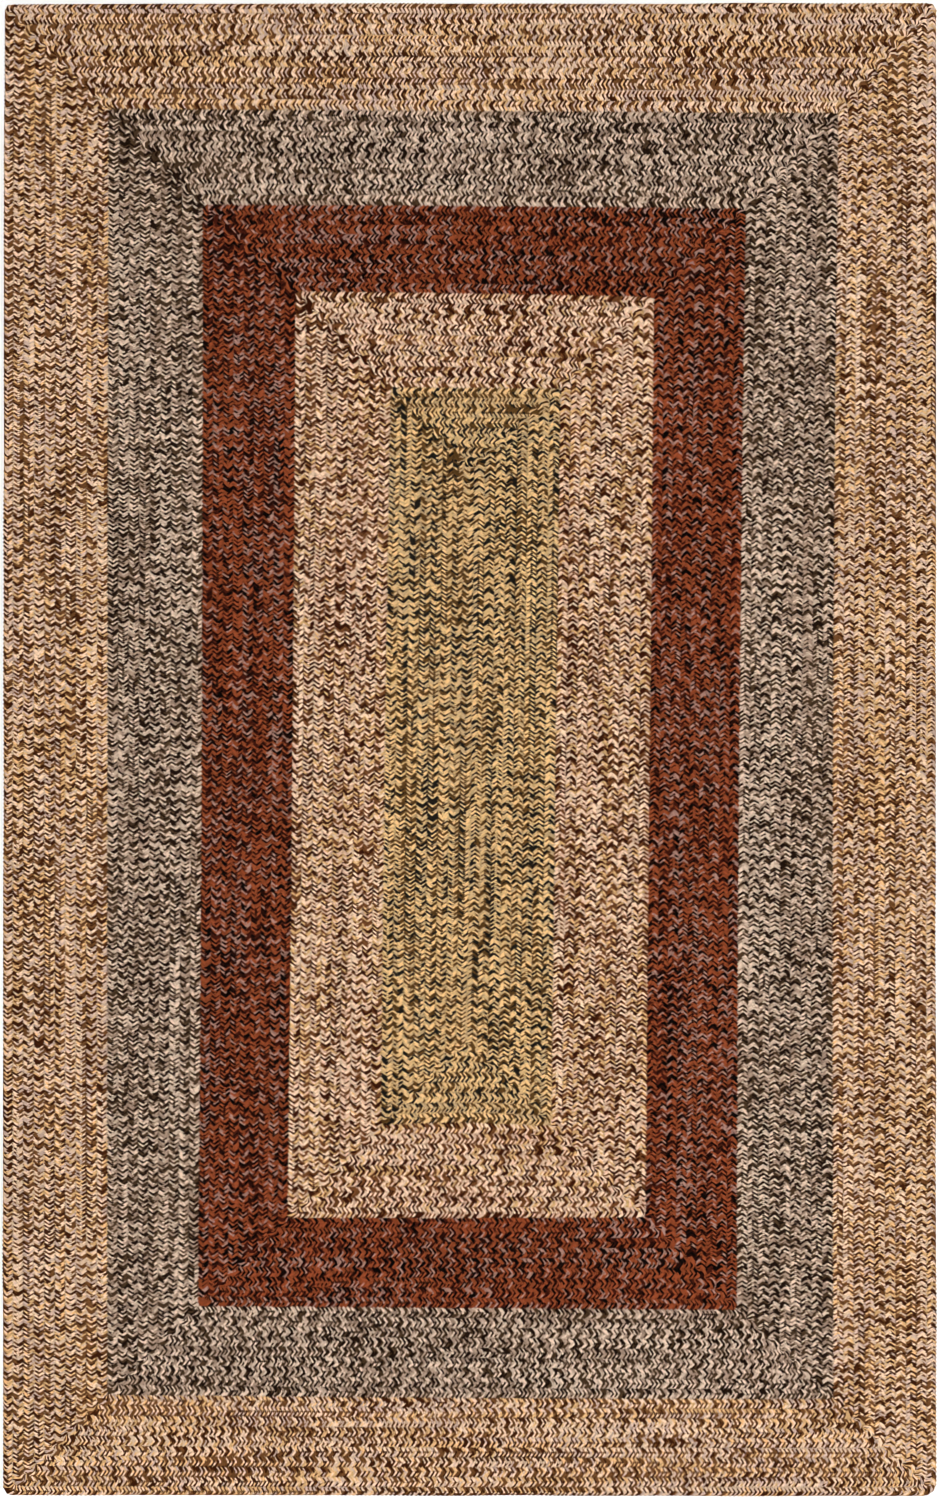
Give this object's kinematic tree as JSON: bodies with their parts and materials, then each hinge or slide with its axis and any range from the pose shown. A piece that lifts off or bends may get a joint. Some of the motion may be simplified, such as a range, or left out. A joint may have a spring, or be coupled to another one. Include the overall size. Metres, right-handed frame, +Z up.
{
  "type": "rectangular braided rug",
  "caption": "Flat rectangular rug of one multicoloured braid sewn round and round, in five bands of tan, grey, rust, beige and gold, to lie on a floor.",
  "frame": {"origin": "middle of the rug, on the floor that it lies on", "axes": "+X across the rug, +Y along its length towards the picture's upper edge, +Z up out of its top side"},
  "size_m": [1.5242, 2.438, 0.01],
  "materials": {
    "tan_yarn": "matt wool-like braid, tan, gold, lilac-grey and brown mixed",
    "grey_yarn": "matt wool-like braid, taupe-grey and brown-black mixed",
    "rust_yarn": "matt wool-like braid, rust, dark rust and black-brown mixed",
    "beige_yarn": "matt wool-like braid, cream, tan, gold and brown mixed",
    "gold_yarn": "matt wool-like braid, mustard gold, brown and charcoal mixed"
  },
  "bodies": {
    "root": {"outer_tan_band": "tan_yarn", "grey_band": "grey_yarn", "rust_band": "rust_yarn", "inner_beige_band": "beige_yarn", "gold_centre": "gold_yarn"}
  },
  "joints": []
}
